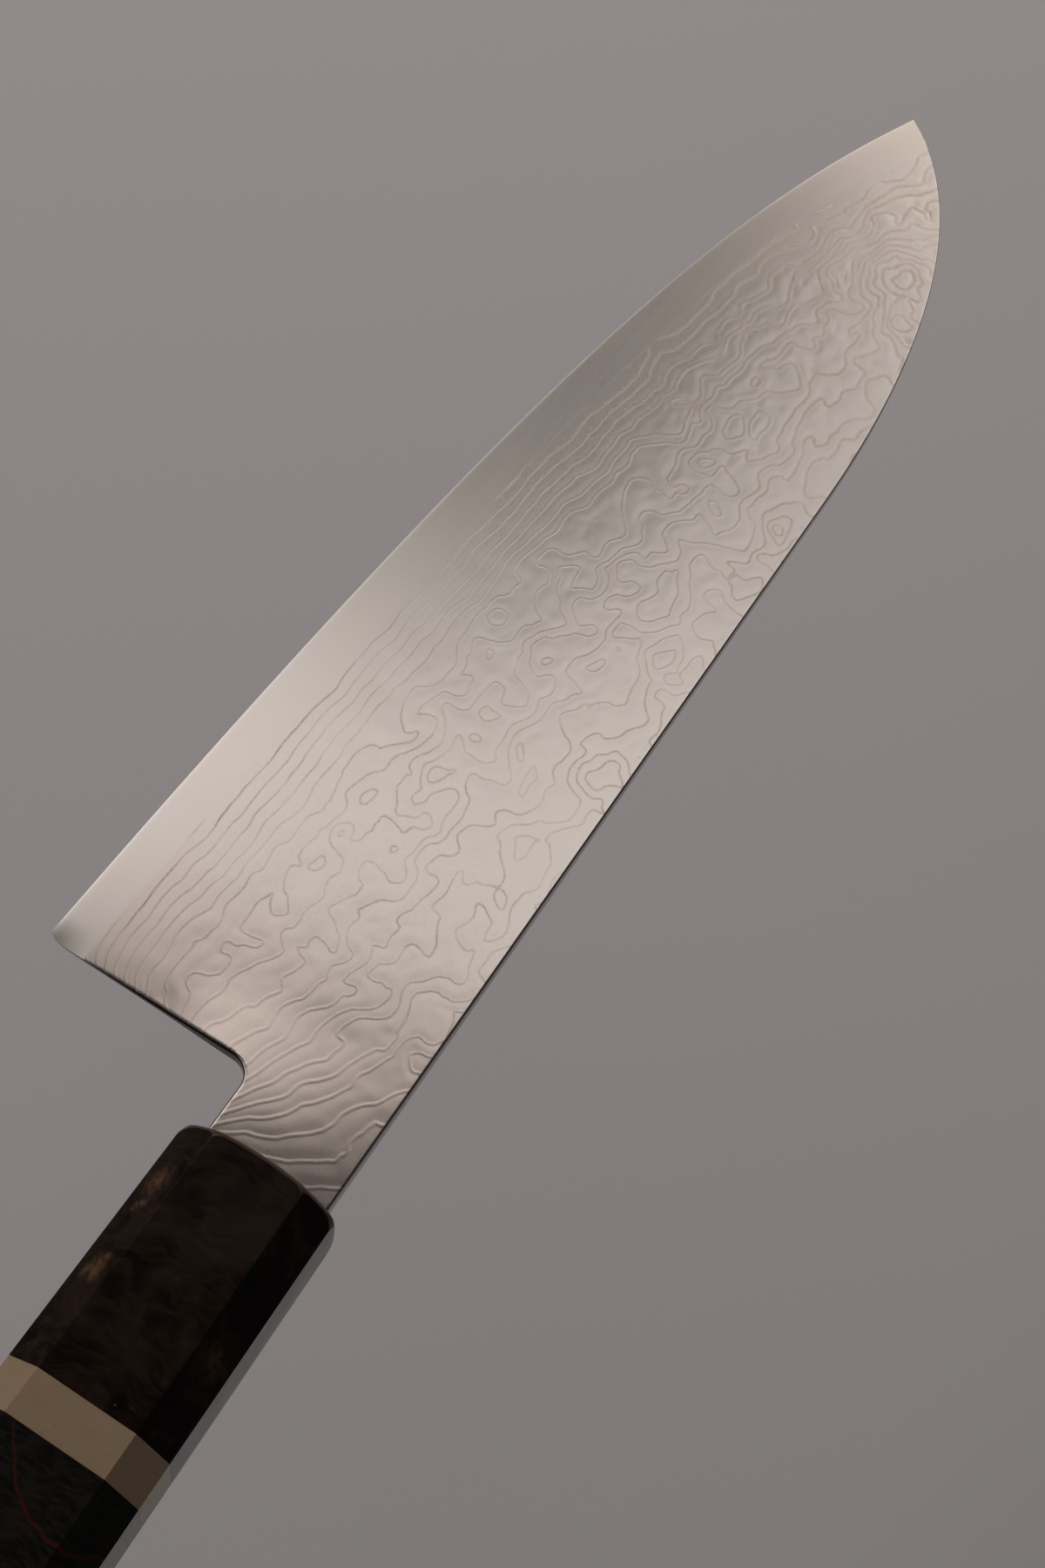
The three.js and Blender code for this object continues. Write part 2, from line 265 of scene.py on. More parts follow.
# Colours; pairs are the ends of a mottling
CORE_STEEL = ((0.68, 0.625, 0.59), (0.71, 0.655, 0.62))
FACE_STEEL = ((0.67, 0.617, 0.587), (0.71, 0.657, 0.627))
# painted warm reflection: the neck's steel is tinted warmer for the warm light it mirrors
PAINTED_NECK_WARMTH = (0.67, 0.58, 0.535)
LINE_STEEL = (0.53, 0.45, 0.39)
LOWEST_LINE_STEEL = (0.36, 0.27, 0.19)
PAINTED_FLANK_REFLECTION = ((0.24, 0.22, 0.21), (0.6, 0.55, 0.52))  # painted reflection on the flanks, dark at the heel and lighter at the nose for what they mirror; given at the heel and at the nose
# painted dark reflection: the choil and the neck's underside are painted near-black for the dark surroundings
# they mirror
PAINTED_DARK_REFLECTION = (0.02, 0.019, 0.018)
BURL = ((0.005, 0.0025, 0.0017), (0.0145, 0.0076, 0.0051))
BURL_FIBRE = (0.025, 0.0137, 0.009)
BURL_FLECK = (0.04, 0.02, 0.0115)
# painted shade on the spine's side of the burl
BURL_PAINTED_SHADE = (0.003, 0.0018, 0.0012)
BURL_TAN = (0.11, 0.06, 0.032)
BURL_RIM = (0.062, 0.026, 0.0165)
KNOT = (0.002, 0.0012, 0.001)
# painted highlight in the pin knot
PAINTED_KNOT_HIGHLIGHT = (0.06, 0.05, 0.04)
DARK_WOOD = ((0.0042, 0.0038, 0.003), (0.0115, 0.01, 0.0077))
DARK_WOOD_CLOUD = (0.018, 0.0105, 0.007)
RED_VEIN = (0.042, 0.0085, 0.005)
CREAM = ((0.275, 0.2, 0.13), (0.3, 0.22, 0.143))
CREAM_STREAK = (0.25, 0.176, 0.107)
CREAM_DEPTH = (0.002, 0.0014, 0.001)  # metres that red, green and blue light go into the resin
HARDWOOD = ((0.34, 0.2, 0.09), (0.5, 0.31, 0.15))
EPOXY = ((0.24, 0.22, 0.16), (0.32, 0.3, 0.22))
FLOOR_PAPER = ((0.5, 0.486, 0.503), (0.51, 0.496, 0.513))
ROOM_LIGHT = (0.03, 0.0295, 0.029)
LIGHT_COLOUR = (1, 0.954, 0.912)
WARM_LIGHT = (1, 0.9, 0.825)  # of the panels that the nose mirrors

# Camera, solved from the photograph's outline
CAMERA_PLACE = (-82.6, -46.9, 321.2)
CAMERA_TURN = (25.401, -5.091, -57.48)
CAMERA_LENS = 64
CAMERA_SENSOR = 36
CAMERA_NEAR = 10  # where its view begins

# Studio
FLOOR_DROP = 200  # the knife is held above the floor
FLOOR_REACH = 600
PANEL_HEIGHT = 600

# Soft panels over the blade: from x, to x, from y, to y, radiance and colour
PANELS = {
    "low_edge": (195, 350, 170, 560, 0.92, LIGHT_COLOUR),
    "low_spine": (222, 380, -150, 170, 0.87, LIGHT_COLOUR),
    "middle_edge": (350, 415, 170, 350, 0.48, LIGHT_COLOUR),
    "middle_spine": (380, 440, -150, 170, 0.83, LIGHT_COLOUR),
    "gap_edge": (415, 690, 170, 350, 0.1, LIGHT_COLOUR),
    "gap_spine": (440, 690, -150, 170, 0.64, LIGHT_COLOUR),
    "beyond_gap": (350, 690, 350, 650, 0.8, LIGHT_COLOUR),
    "high_edge": (690, 1360, 170, 650, 1.06, WARM_LIGHT),
    "high_spine": (690, 1360, -300, 170, 1.26, WARM_LIGHT),
}

# Large panels further off: middle, size, radiance and the point they face
FILLS = {
    "fill": ((-100, 1300, 900), (4000, 1300), 1.3, (-100, 10, 0)),
    "back_fill": ((-600, -1000, 700), (900, 900), 0.4, (0, 0, 0)),
}


# Numbers and shapes


def to_world(points):
    """Points in the knife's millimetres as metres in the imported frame."""
    return np.asarray(points, float) * MM + KNIFE_ORIGIN


def smooth(low, high, value):
    """0 below low, 1 above high, and an even S between them."""
    share = np.clip((value - low) / (high - low), 0, 1)
    return share * share * (3 - 2 * share)


def lerp(a, b, share):
    return a + (b - a) * share


def ramp(value, ease):
    """0 well below zero and the value itself well above it."""
    return 0.5 * (value + np.hypot(value, ease))


def direction(angle):
    return np.array([math.cos(angle), math.sin(angle)])


def bezier(*points):
    """A quadratic or cubic curve as many points."""
    share = np.linspace(0, 1, CURVE_STEPS)[:, None]
    level = [np.asarray(point, float)[None, :] for point in points]
    while len(level) > 1:
        level = [lerp(a, b, share) for a, b in zip(level, level[1:])]
    return level[0]


def fade(share):
    """An S from 0 to 1 that is flat and unbent at both ends."""
    return share**3 * (share * (share * 6 - 15) + 10)


def gradient_noise(x, y, cell, seed):
    """Smooth noise from about -1 to 1, with features one cell wide."""
    lattice = 128
    shift = 20  # keeps negative places inside the lattice
    gain = 1.6  # brings the noise to that range
    turns = np.random.default_rng(seed).uniform(0, 2 * math.pi, (lattice, lattice))
    u = x / cell + shift
    v = y / cell + shift
    column = np.floor(u).astype(int)
    row = np.floor(v).astype(int)
    u = u - column
    v = v - row

    def corner(i, j):
        turn = turns[(column + i) % lattice, (row + j) % lattice]
        return np.cos(turn) * (u - i) + np.sin(turn) * (v - j)

    near = lerp(corner(0, 0), corner(1, 0), fade(u))
    far = lerp(corner(0, 1), corner(1, 1), fade(u))
    return gain * lerp(near, far, fade(v))


def noise_sum(x, y, waves, seed):
    """Noise of several amounts and sizes, added up."""
    return sum(amount * gradient_noise(x, y, size, seed + i) for i, (amount, size) in enumerate(waves))


def pushed(x, y, reach, size, seed):
    """Places pushed about by noise."""
    push_x = reach * gradient_noise(x, y, size, seed)
    push_y = reach * gradient_noise(x, y, size, seed + 1)
    return x + push_x, y + push_y


def add_object(name, data):
    """A new object in the scene."""
    added = bpy.data.objects.new(name, data)
    bpy.context.collection.objects.link(added)
    return added


def make_piece(name, points, faces, attributes=None):
    """An object from points in the knife's millimetres, with values stored at its points."""
    mesh = bpy.data.meshes.new(name)
    mesh.from_pydata(to_world(points).tolist(), [], faces)
    for attribute, values in (attributes or {}).items():
        layer = mesh.attributes.new(attribute, "FLOAT", "POINT")
        layer.data.foreach_set("value", np.asarray(values, np.float32))
    body = bmesh.new()
    body.from_mesh(mesh)
    bmesh.ops.remove_doubles(body, verts=body.verts, dist=WELD)
    body.to_mesh(mesh)
    body.free()
    return add_object(name, mesh)


def shade(piece):
    """Smooth shading, apart from real corners."""
    piece.data.shade_smooth()
    piece.data.set_sharp_from_angle(angle=SHARP_ANGLE)


def cover(piece, material):
    """Gives a piece its only material."""
    piece.data.materials.clear()
    piece.data.materials.append(material)


def carve(piece, *cutters):
    """Takes the cutters out of a piece."""
    for cutter in cutters:
        cut = piece.modifiers.new("cut", "BOOLEAN")
        cut.operation = "DIFFERENCE"
        cut.solver = "EXACT"
        cut.object = cutter
    view = bpy.context.evaluated_depsgraph_get()
    carved = bpy.data.meshes.new_from_object(piece.evaluated_get(view))
    piece.modifiers.clear()
    piece.data = carved
    for cutter in cutters:
        bpy.data.objects.remove(cutter)


def band_faces(upper, lower):
    """A closed band of faces between two loops of point numbers."""
    return [[upper[i - 1], upper[i], lower[i], lower[i - 1]] for i in range(len(upper))]


def tube(rings):
    """Points and faces of a closed body over rings, from the foremost ring back."""
    count = len(rings[0])
    numbers = np.arange(len(rings) * count).reshape(len(rings), count).tolist()
    faces = [numbers[0], numbers[-1][::-1]]
    for front, rear in zip(numbers, numbers[1:]):
        faces += band_faces(rear, front)
    return np.concatenate(rings), faces


def rod(name, front, rear, diameter):
    """A round rod on the handle's axis."""
    turns = np.linspace(0, 2 * math.pi, ROD_SIDES, endpoint=False)
    y = HANDLE_DROP + diameter / 2 * np.cos(turns)
    z = diameter / 2 * np.sin(turns)
    return make_piece(name, *tube([np.stack([np.full_like(y, x), y, z], 1) for x in (front, rear)]))


def block(name, low, high):
    corners = [(low[1], low[2]), (high[1], low[2]), (high[1], high[2]), (low[1], high[2])]
    rings = [np.array([(x, y, z) for y, z in corners], float) for x in (high[0], low[0])]
    return make_piece(name, *tube(rings))


# Blade shape

TIP = np.array([TIP_X, TIP_DROP])
HEEL = np.array([HEEL_X, HEEL_HEIGHT])
BELLY_START = np.array([1, -math.tan(BELLY_ANGLE)])
FILLET = np.array([HEEL_X - CHOIL_RADIUS, NECK_HEIGHT + CHOIL_RADIUS])
NOSE_START = np.array([TIP_X - NOSE_LENGTH, 0])
SPINE = bezier(NOSE_START, NOSE_START + (NOSE_EASE, 0), TIP - NOSE_REACH * direction(NOSE_ANGLE), TIP)
EDGE = bezier(HEEL, HEEL + BELLY_REACH * BELLY_START, TIP - POINT_REACH * direction(-POINT_ANGLE), TIP)
HEEL_CORNER = bezier(HEEL + HEEL_EASE * BELLY_START, HEEL - (0, HEEL_EASE), HEEL - (0, HEEL_EASE_HEIGHT))


def spine_y(x):
    return np.interp(x, SPINE[:, 0], SPINE[:, 1])


def edge_y(x):
    return np.interp(x, EDGE[:, 0], EDGE[:, 1])


def choil_x(y):
    """The choil, with the blunted corner of the heel."""
    return np.interp(y, HEEL_CORNER[::-1, 1], HEEL_CORNER[::-1, 0])


def spine_half(x):
    return np.interp(x, [0, TIP_X], [NECK_HALF, TIP_HALF])


def core_half(x):
    return np.interp(x, [0, TIP_X], [CORE_HALF, CORE_TIP_HALF])


def rim_width(x):
    return np.interp(x, [NECK_END, TIP_X], [RIM, TIP_RIM])


def half_thickness(x, y):
    """Half the blade's thickness: a slightly convex grind, thicker in the neck, rolled off at the choil."""
    share = np.clip(1 - y / edge_y(x), 0, 1)
    ground = lerp(EDGE_HALF, spine_half(x), share**GRIND_POWER)
    in_neck = (1 - smooth(0, NECK_END, x)) * smooth(*NECK_GRIND, share)
    return lerp(ground, NECK_HALF, in_neck) - choil_roll(x, y, ground)


def choil_roll(x, y, ground):
    """How far the faces fall off towards the choil: nothing on the lamination line."""
    near = 1 - np.clip((x - HEEL_X) / ROLL_REACH, 0, 1)
    below_neck = smooth(*ROLL_BEGIN, y - FILLET[1])
    from_core = ground - core_half(x)
    deepest = np.where(from_core > 0, ROLL_DEPTH, BARE_ROLL_DEPTH)
    depth = np.minimum(np.minimum(deepest, ROLL_SHARE * ground), ROLL_CORE_SHARE * np.abs(from_core))
    return depth * near**2 * below_neck


def lamination_y(x):
    """Where the grind runs out of the cladding and bares the core."""
    share = ((core_half(x) - EDGE_HALF) / (spine_half(x) - EDGE_HALF)) ** (1 / GRIND_POWER)
    return edge_y(x) * (1 - share)


def lamination_end():
    """Where the lamination line meets the spine, near the tip."""
    x = np.linspace(NOSE_START[0], TIP_X, CURVE_STEPS)
    return x[np.argmax(spine_y(x) + rim_width(x) >= lamination_y(x))]


# Layered figure


def heel_to_nose(pair, x):
    """A value that changes from the heel to the nose."""
    return lerp(*pair, smooth(*NOSE_X, x))


def from_fan_root(x, y):
    return np.hypot(x - FAN_ROOT, y - NECK_HEIGHT)


def layer_rise(x, y):
    """Close lines along the bare core, and wider ones on the rest of the face."""
    close = heel_to_nose(CLOSE_SPACING, x)
    face = heel_to_nose(FACE_SPACING, x)
    up = lamination_y(x) - y
    past_close = ramp(up - heel_to_nose(CLOSE_REACH, x), SPACING_EASE)
    return 1 + (up - FIRST_LINE) / close - past_close * (1 / close - 1 / face)


def layer_wander(x, y, seed):
    """How the lines wander: little along the bare core and in the neck."""
    swirl_x, swirl_y = pushed(x, y, SWIRL, SWIRL_SIZE, seed + SWIRL_SEED)
    wander = noise_sum(swirl_x / WANDER_STRETCH, swirl_y, WANDER, seed)
    low, high = (share * heel_to_nose(CLOSE_REACH, x) for share in CLOSE_EASE)
    wander *= lerp(heel_to_nose(CLOSE_WANDER, x), 1, smooth(low, high, lamination_y(x) - y))
    return wander * lerp(NECK_WANDER, 1, smooth(*NECK_CALM, from_fan_root(x, y)))


def layer_fan(x, y):
    """Lines that spread from the neck's underside at the handle, and bend as they go."""
    above = NECK_HEIGHT + FAN_ROOT_DROP - y
    across = ramp(x - FAN_ROOT, FAN_ROOT_EASE) + FAN_LEAN * np.maximum(above, 0)
    turn = ramp(np.degrees(np.arctan2(above, across)), FAN_EASE)
    spread = (FAN_REACH * np.tanh(from_fan_root(x, y) / FAN_REACH) / FAN_START) ** FAN_BEND
    far_away = (ramp(0, FAN_EASE) - FAN_AIM) * (FAN_REACH / FAN_START) ** FAN_BEND
    return ((turn - FAN_AIM) * spread - far_away) / FAN_STEP


def layer_bend(x, y):
    """How far the lines bend down at the choil."""
    near = np.exp(-np.maximum(x - HEEL_X, 0) / CHOIL_BEND_REACH)
    return CHOIL_BEND * near * smooth(*CHOIL_BEND_Y, y)


def layer_course(x, y, seed):
    """The course of the layers without rings."""
    return layer_rise(x, y) + layer_wander(x, y, seed) + layer_fan(x, y) - layer_bend(x, y)


def ring_bumps(seed):
    """Places, reaches and heights of the hills and of small bumps just high enough to show as a ring."""
    chance = np.random.default_rng(seed + RING_SEED)
    bumps = list(HILLS)
    for _ in range(RING_COUNT):
        x = chance.uniform(HEEL_X + RING_MARGIN, TIP_X - RING_MARGIN)
        y = lerp(spine_y(x), lamination_y(x), chance.uniform(*RING_HEIGHTS))
        course = layer_course(np.array([x]), np.array([y]), seed)[0]
        bumps.append((x, y, chance.uniform(*RING_REACH), math.floor(course) + 1 + RING_CREST - course))
    return bumps


def layer_height(x, y, seed):
    """Which layer of the cladding lies at the surface; whole numbers are the lines between layers."""
    height = layer_course(x, y, seed)
    ring_x, ring_y = pushed(x, y, RING_DENT, RING_DENT_SIZE, seed + DENT_SEED)
    for centre_x, centre_y, reach, rise in ring_bumps(seed):
        height = height + rise * np.exp(-((ring_x - centre_x) ** 2 + (ring_y - centre_y) ** 2) / reach**2)
    return height


def layer_slope(x, y, seed):
    """How fast the layers change across the surface, per millimetre."""
    step = SLOPE_STEP
    slope_x = (layer_height(x + step, y, seed) - layer_height(x - step, y, seed)) / (2 * step)
    slope_y = (layer_height(x, y + step, seed) - layer_height(x, y - step, seed)) / (2 * step)
    flattest = 0.08
    return np.sqrt(slope_x**2 + slope_y**2 + flattest**2)


def swell(x, y, seed):
    """Gentle swells that forging and etching leave in the cladding's face."""
    wave = noise_sum(x, y, SWELLS, seed + SWELL_SEED)
    pillow = -heel_to_nose(PILLOW, x) * np.cos(2 * math.pi * layer_height(x, y, seed))
    pillow /= 1 + (layer_slope(x, y, seed) / CROWDED) ** 2
    return (wave + pillow) * smooth(0, SWELL_EASE, lamination_y(x) - y)


# Blade meshes


class BladeGrid:
    """A grid of points over the outline of blade and neck, and the loop of points around it.

    Rows run from near the edge to the spine, and columns from the choil to the tip. A second grid goes on
    from the choil through the neck, with the rows from seam_row on. inset draws the outline in where its
    corners are eased. out holds the outward direction of each point of the loop.
    """

    def __init__(self, row_heights, last_x, seam_row, inset):
        columns = np.linspace(HEEL_X + inset, last_x, FACE_COLUMNS + 1)
        blade_y = row_heights(columns)
        near_choil = 1 - smooth(0, HEEL_EASE_HEIGHT, columns - columns[0])
        blade_x = columns[:, None] + (choil_x(blade_y) - HEEL_X) * near_choil[:, None]

        low = self.neck_underside(inset)
        rows = blade_y[0, seam_row:]
        shares = (rows - rows[0]) / (rows[-1] - rows[0])
        neck_y = lerp(low[:, 1:], inset, shares[None, :])
        neck_x = np.repeat(low[:, :1], len(rows), 1)

        self.x = np.concatenate([blade_x.ravel(), neck_x.ravel()])
        self.y = np.concatenate([blade_y.ravel(), neck_y.ravel()])
        blade = np.arange(blade_x.size).reshape(blade_x.shape)
        neck = np.arange(neck_x.size).reshape(neck_x.shape) + blade_x.size
        neck = np.vstack([blade[:1, seam_row:], neck])
        self.faces = self.grid_faces(blade[::-1]) + self.grid_faces(neck)
        self.trace_loop(blade, neck, seam_row)

    @staticmethod
    def neck_underside(inset):
        """Points along the choil's fillet and the neck's underside, from the choil back."""
        turns = np.linspace(0, math.pi / 2, FILLET_COLUMNS + 1)[1:]
        radius = CHOIL_RADIUS + inset
        fillet = FILLET + radius * np.stack([np.cos(turns), -np.sin(turns)], 1)
        straight_x = np.linspace(FILLET[0], -NECK_DEPTH, NECK_COLUMNS + 1)[1:]
        straight = np.stack([straight_x, np.full_like(straight_x, NECK_HEIGHT - inset)], 1)
        return np.vstack([fillet, straight])

    @staticmethod
    def grid_faces(numbers):
        """Faces of a grid whose columns run back from the tip's side."""
        a, b = numbers[:-1, :-1].ravel(), numbers[1:, :-1].ravel()
        c, d = numbers[1:, 1:].ravel(), numbers[:-1, 1:].ravel()
        return np.stack((a, b, c, d), 1).tolist()

    def trace_loop(self, blade, neck, seam_row):
        low_line = blade[1:, 0]
        spine = np.concatenate([blade[-2::-1, -1], neck[1:, -1]])
        root = neck[-1, -2:0:-1]
        straight = neck[-1:FILLET_COLUMNS:-1, 0]
        fillet = neck[FILLET_COLUMNS:0:-1, 0]
        choil = blade[0, seam_row::-1]
        self.loop = np.concatenate([low_line, spine, root, straight, fillet, choil])

        spine_x = self.x[spine]
        slope = (spine_y(spine_x + SLOPE_STEP) - spine_y(spine_x - SLOPE_STEP)) / (2 * SLOPE_STEP)
        spine_out = np.stack([slope, -np.ones_like(slope)], 1) / np.sqrt(1 + slope**2)[:, None]
        fillet_out = FILLET - np.stack([self.x[fillet], self.y[fillet]], 1)
        fillet_out /= np.linalg.norm(fillet_out, axis=1)[:, None]
        self.out = np.concatenate([
            np.zeros((len(low_line), 2)),
            spine_out,
            np.zeros((len(root), 2)),
            np.tile([0.0, 1.0], (len(straight), 1)),
            fillet_out,
            np.tile([-1.0, 0.0], (len(choil), 1)),
        ])


def tang_body(low_z, high_z, first_number):
    """Points and faces of the tapered tang between two heights."""
    rings = []
    for x, width in ((-NECK_DEPTH, TANG_ROOT_WIDTH), (TANG_REAR, TANG_END_WIDTH)):
        low, high = HANDLE_DROP - width / 2, HANDLE_DROP + width / 2
        rings.append(np.array([(x, low, low_z), (x, high, low_z), (x, high, high_z), (x, low, high_z)]))
    points, faces = tube(rings)
    return points, [[first_number + corner for corner in face] for face in faces]


def rim_rings(top, out):
    """Rings from the face's outline over its eased corner and down to the core."""
    width = rim_width(top[:, 0])
    drop = np.minimum(width, top[:, 2] - core_half(top[:, 0]))
    rings = []
    for turn in np.linspace(0, math.pi / 2, RIM_STEPS + 1)[1:]:
        ring = top.copy()
        ring[:, :2] += out * width[:, None] * math.sin(turn)
        ring[:, 2] -= drop * (1 - math.cos(turn))
        rings.append(ring)
    foot = rings[-1].copy()
    foot[:, 2] = core_half(foot[:, 0])
    return [*rings, foot]


def figure_values(x, y, seed):
    """The layer, how many layers half a line spans, how high a line stands, and where the neck is."""
    slope = layer_slope(x, y, seed)
    neck = (1 - smooth(*NECK_FIGURE_X, x)) * (1 - smooth(*NECK_FIGURE_Y, y))
    half_line = heel_to_nose(LINE_HALF, x) + NECK_LINE * neck
    bare = TIP_BARE * smooth(*TIP_BARE_X, x)
    shown = smooth(-LINE_FADE, LINE_FADE, lamination_y(x) - y - bare)
    thinnest = 0.001
    height = lerp(1, STEEP_HEIGHT, smooth(*STEEP, slope)) * (1 + neck + RAISED * smooth(*RAISED_X, x))
    return {
        "layer": layer_height(x, y, seed),
        "line_reach": slope * half_line * np.maximum(shown, thinnest),
        "line_height": height,
        "neck": neck,
    }


def cladding(name, side, seed):
    """One layered face of the blade: side is 1 for the left face and -1 for the right."""
    low_start = lamination_y(HEEL_X + RIM)
    seam_share = (low_start - FILLET[1]) / (low_start - RIM)
    seam_row = round(seam_share * FACE_ROWS)
    below = np.linspace(0, seam_share, seam_row + 1)
    shares = np.concatenate([below, np.linspace(seam_share, 1, FACE_ROWS - seam_row + 1)[1:]])

    def row_heights(x):
        return lerp(lamination_y(x)[:, None], (spine_y(x) + rim_width(x))[:, None], shares[None, :])

    grid = BladeGrid(row_heights, lamination_end(), seam_row, RIM)
    z = np.maximum(half_thickness(grid.x, grid.y) + swell(grid.x, grid.y, seed), core_half(grid.x))
    face = np.stack([grid.x, grid.y, z], 1)
    points = [face]
    flank = [np.zeros(len(face))]
    faces = list(grid.faces)
    upper = grid.loop.tolist()
    count = len(face)
    for number, ring in enumerate(rim_rings(face[grid.loop], grid.out)):
        lower = list(range(count, count + len(ring)))
        faces += band_faces(upper, lower)
        points.append(ring)
        flank.append(min(1.0, (number + 1) / RIM_STEPS) * np.linalg.norm(grid.out, axis=1))
        upper = lower
        count += len(ring)
    faces.append(upper)
    tang_points, tang_faces = tang_body(CORE_HALF, NECK_HALF, count)
    points = np.vstack([*points, tang_points])
    flank = np.concatenate([*flank, np.ones(len(tang_points))])
    faces += tang_faces

    values = {"flank": flank, **figure_values(points[:, 0], points[:, 1], seed)}
    points[:, 2] *= side
    if side < 0:
        faces = [corners[::-1] for corners in faces]
    return make_piece(name, points, faces, values)


def core(name):
    """The hard middle layer: bare along the edge, covered above, and drawn out into the tang."""
    seam_share = (lamination_y(HEEL_X) - FILLET[1]) / lamination_y(HEEL_X)
    seam_row = BAND_ROWS + 2

    def row_heights(x):
        edge = edge_y(x)
        spine = spine_y(x)
        bevel = np.maximum(edge - CUTTING_BEVEL, spine)
        lamination = np.maximum(lamination_y(x), spine)
        band = [lerp(bevel, lamination, step / BAND_ROWS) for step in range(BAND_ROWS + 1)]
        return np.stack([edge, *band, lerp(lamination, spine, seam_share), spine], 1)

    grid = BladeGrid(row_heights, TIP_X, seam_row, 0)
    z = np.minimum(half_thickness(grid.x, grid.y), core_half(grid.x))
    from_edge = np.clip((edge_y(grid.x) - grid.y) / CUTTING_BEVEL, 0, 1)
    z = z * lerp(EDGE_TAPER, 1, from_edge)
    left = np.stack([grid.x, grid.y, z], 1)
    right = left * (1, 1, -1)
    count = len(z)
    faces = list(grid.faces)
    faces += [[corner + count for corner in reversed(face)] for face in grid.faces]
    loop = grid.loop.tolist()
    faces += band_faces(loop, [corner + count for corner in loop])
    tang_points, tang_faces = tang_body(-CORE_HALF, CORE_HALF, 2 * count)
    return make_piece(name, np.vstack([left, right, tang_points]), faces + tang_faces)


# Handle meshes


def handle_ring(x, inset=0.0, least_round=CORNER_ROUND):
    """The octagon at x, drawn in by inset, with eased corners."""
    share = x / HANDLE_REAR
    wide = lerp(FRONT_WIDTH, REAR_WIDTH, share) / 2 - inset
    high = lerp(FRONT_THICKNESS, REAR_THICKNESS, share) / 2 - inset
    bevel = BEVEL - inset * (2 - math.sqrt(2))
    corner_round = max(CORNER_ROUND + CORNER_GROWTH * inset, least_round)
    corners = [
        (wide, high - bevel), (wide - bevel, high), (bevel - wide, high), (-wide, high - bevel),
        (-wide, bevel - high), (bevel - wide, -high), (wide - bevel, -high), (wide, bevel - high),
    ]
    eighth = math.pi / 4
    arcs = []
    for number, corner in enumerate(corners):
        first, last = number * eighth, (number + 1) * eighth
        reach = corner_round / (1 + math.cos(eighth))
        centre = np.array(corner) - reach * (direction(first) + direction(last))
        turns = np.linspace(first, last, CORNER_STEPS + 1)
        arcs.append([centre + corner_round * direction(turn) for turn in turns])
    ring = []
    for arc, next_arc in zip(arcs, arcs[1:] + arcs[:1]):
        ring += arc
        ring += [lerp(arc[-1], next_arc[0], across) for across in FLAT_SHARES]
    return np.array([(x, HANDLE_DROP + y, z) for y, z in ring])


def rounded_end(x, inwards, edge=0.0, corners=((0, 0), (FLAT_MARGIN, 0))):
    """Rings of a rounded end from its middle inwards: inwards is -1 at the front and 1 at the rear.

    The rounding meets the flats at an angle of edge. corners gives distances behind that edge, and the
    rounding of the corners between the flats there.
    """
    last = math.pi / 2 - edge
    depth = END_ROUND * math.sin(last)
    flat = handle_ring(x, depth)
    middle = (x, HANDLE_DROP, 0)
    rings = [middle + (flat - middle) * share for share in CAP_SHARES]
    for turn in np.linspace(0, last, ROUND_STEPS + 1):
        back = END_ROUND * (1 - math.cos(turn))
        rings.append(handle_ring(x + inwards * back, depth - END_ROUND * math.sin(turn), corners[0][1]))
    rings += [handle_ring(x + inwards * (back + behind), 0, rounding) for behind, rounding in corners[1:]]
    return rings


def front_end():
    """Rings of the domed front end, whose edge falls back at its outermost corners."""
    rings = rounded_end(0, -1, FRONT_EDGE, FRONT_CORNERS)
    for ring in rings:
        from_axis = np.hypot(ring[:, 1] - HANDLE_DROP, ring[:, 2])
        ring[:, 0] += FRONT_DOME * (1 - (from_axis / (FRONT_WIDTH / 2)) ** 2)
        ring[:, 0] -= CORNER_FALL * smooth(*CORNER_FALL_RANGE, from_axis)
    return rings


def seam_end(x, inwards):
    """Rings of a flat end with a fine chamfer, from its face inwards."""
    return [handle_ring(x, SEAM_ROUND), handle_ring(x + inwards * SEAM_ROUND)]


def bore(front, rear):
    return rod("bore", front, rear, DOWEL_DIAMETER + 2 * DOWEL_CLEARANCE)


def front_block(name):
    piece = make_piece(name, *tube(front_end() + seam_end(SPACER_FRONT, 1)[::-1]))
    half = NECK_HALF + NECK_CLEARANCE
    low = (DOWEL_FRONT, -NECK_CLEARANCE, -half)
    high = (OVERCUT, NECK_HEIGHT + NECK_CLEARANCE, half)
    carve(piece, block("mortise", low, high), bore(DOWEL_FRONT, SPACER_FRONT - OVERCUT))
    return piece


def spacer(name):
    piece = make_piece(name, *tube(seam_end(SPACER_FRONT, -1) + seam_end(SPACER_REAR, 1)[::-1]))
    carve(piece, bore(SPACER_FRONT + OVERCUT, SPACER_REAR - OVERCUT))
    return piece


def rear_block(name):
    piece = make_piece(name, *tube(seam_end(SPACER_REAR, -1) + rounded_end(HANDLE_REAR, 1)[::-1]))
    carve(piece, bore(SPACER_REAR + OVERCUT, DOWEL_REAR - DOWEL_CLEARANCE))
    return piece


# Materials


